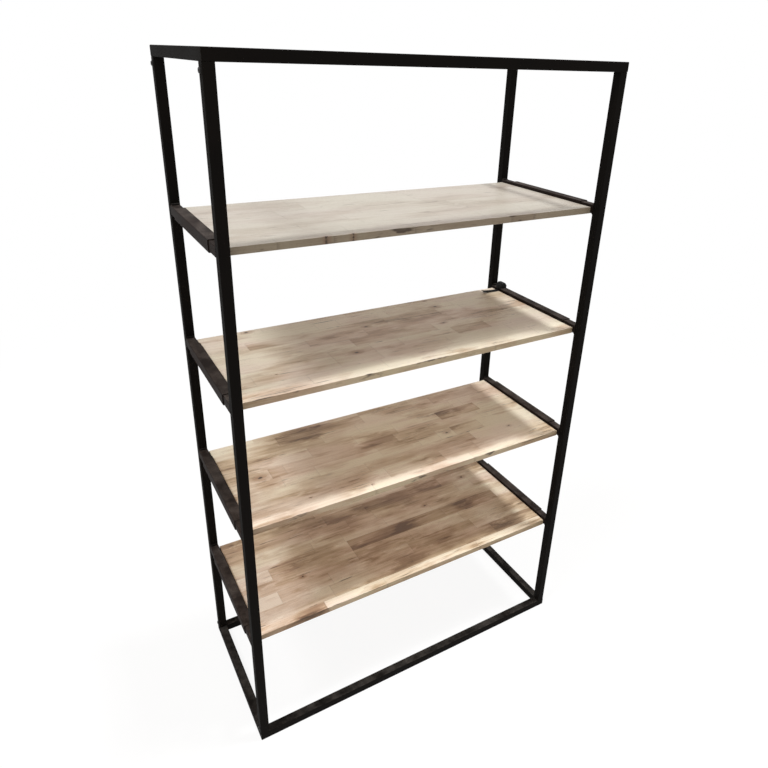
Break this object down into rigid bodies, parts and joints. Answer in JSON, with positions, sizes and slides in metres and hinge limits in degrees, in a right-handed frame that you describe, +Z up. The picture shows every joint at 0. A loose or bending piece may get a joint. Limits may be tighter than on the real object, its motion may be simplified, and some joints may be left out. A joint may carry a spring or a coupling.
{
  "type": "pipe shelving unit",
  "caption": "Free-standing open shelving unit: square steel tube frame with bolted posts, sleeve rails on welded stubs, and jointed hardwood boards.",
  "frame": {"origin": "on the floor, under the middle of the unit", "axes": "+X to the right along the width, +Y from the front to the back, +Z up"},
  "size_m": [0.9666, 0.41, 1.648],
  "materials": {
    "black_steel": "semi-matt powder coat",
    "black_fasteners": "black oxide",
    "zinc_fasteners": "zinc plated",
    "wood": "oiled",
    "black_nylon": "woven",
    "black_plastic": "matt"
  },
  "bodies": {
    "root": {"base_frame_front": "black_steel", "base_frame_back": "black_steel", "base_frame_left": "black_steel", "base_frame_right": "black_steel", "base_frame_spigots": "black_steel", "top_frame_front": "black_steel", "top_frame_back": "black_steel", "top_frame_left": "black_steel", "top_frame_right": "black_steel", "top_frame_spigots": "black_steel", "front_left_post": "black_steel", "front_left_stubs": "black_steel", "front_right_post": "black_steel", "front_right_stubs": "black_steel", "back_left_post": "black_steel", "back_left_stubs": "black_steel", "back_right_post": "black_steel", "back_right_stubs": "black_steel", "shelf_1_board": "wood", "shelf_1_rail_left": "black_steel", "shelf_1_rail_right": "black_steel", "shelf_2_board": "wood", "shelf_2_rail_left": "black_steel", "shelf_2_rail_right": "black_steel", "shelf_3_board": "wood", "shelf_3_rail_left": "black_steel", "shelf_3_rail_right": "black_steel", "shelf_4_board": "wood", "shelf_4_rail_left": "black_steel", "shelf_4_rail_right": "black_steel", "corner_bolts": "black_fasteners", "corner_nuts": "zinc_fasteners", "rail_screws": "black_fasteners", "board_screws": "zinc_fasteners", "tip_strap": "black_nylon", "tip_strap_buckle": "black_plastic"}
  },
  "joints": []
}
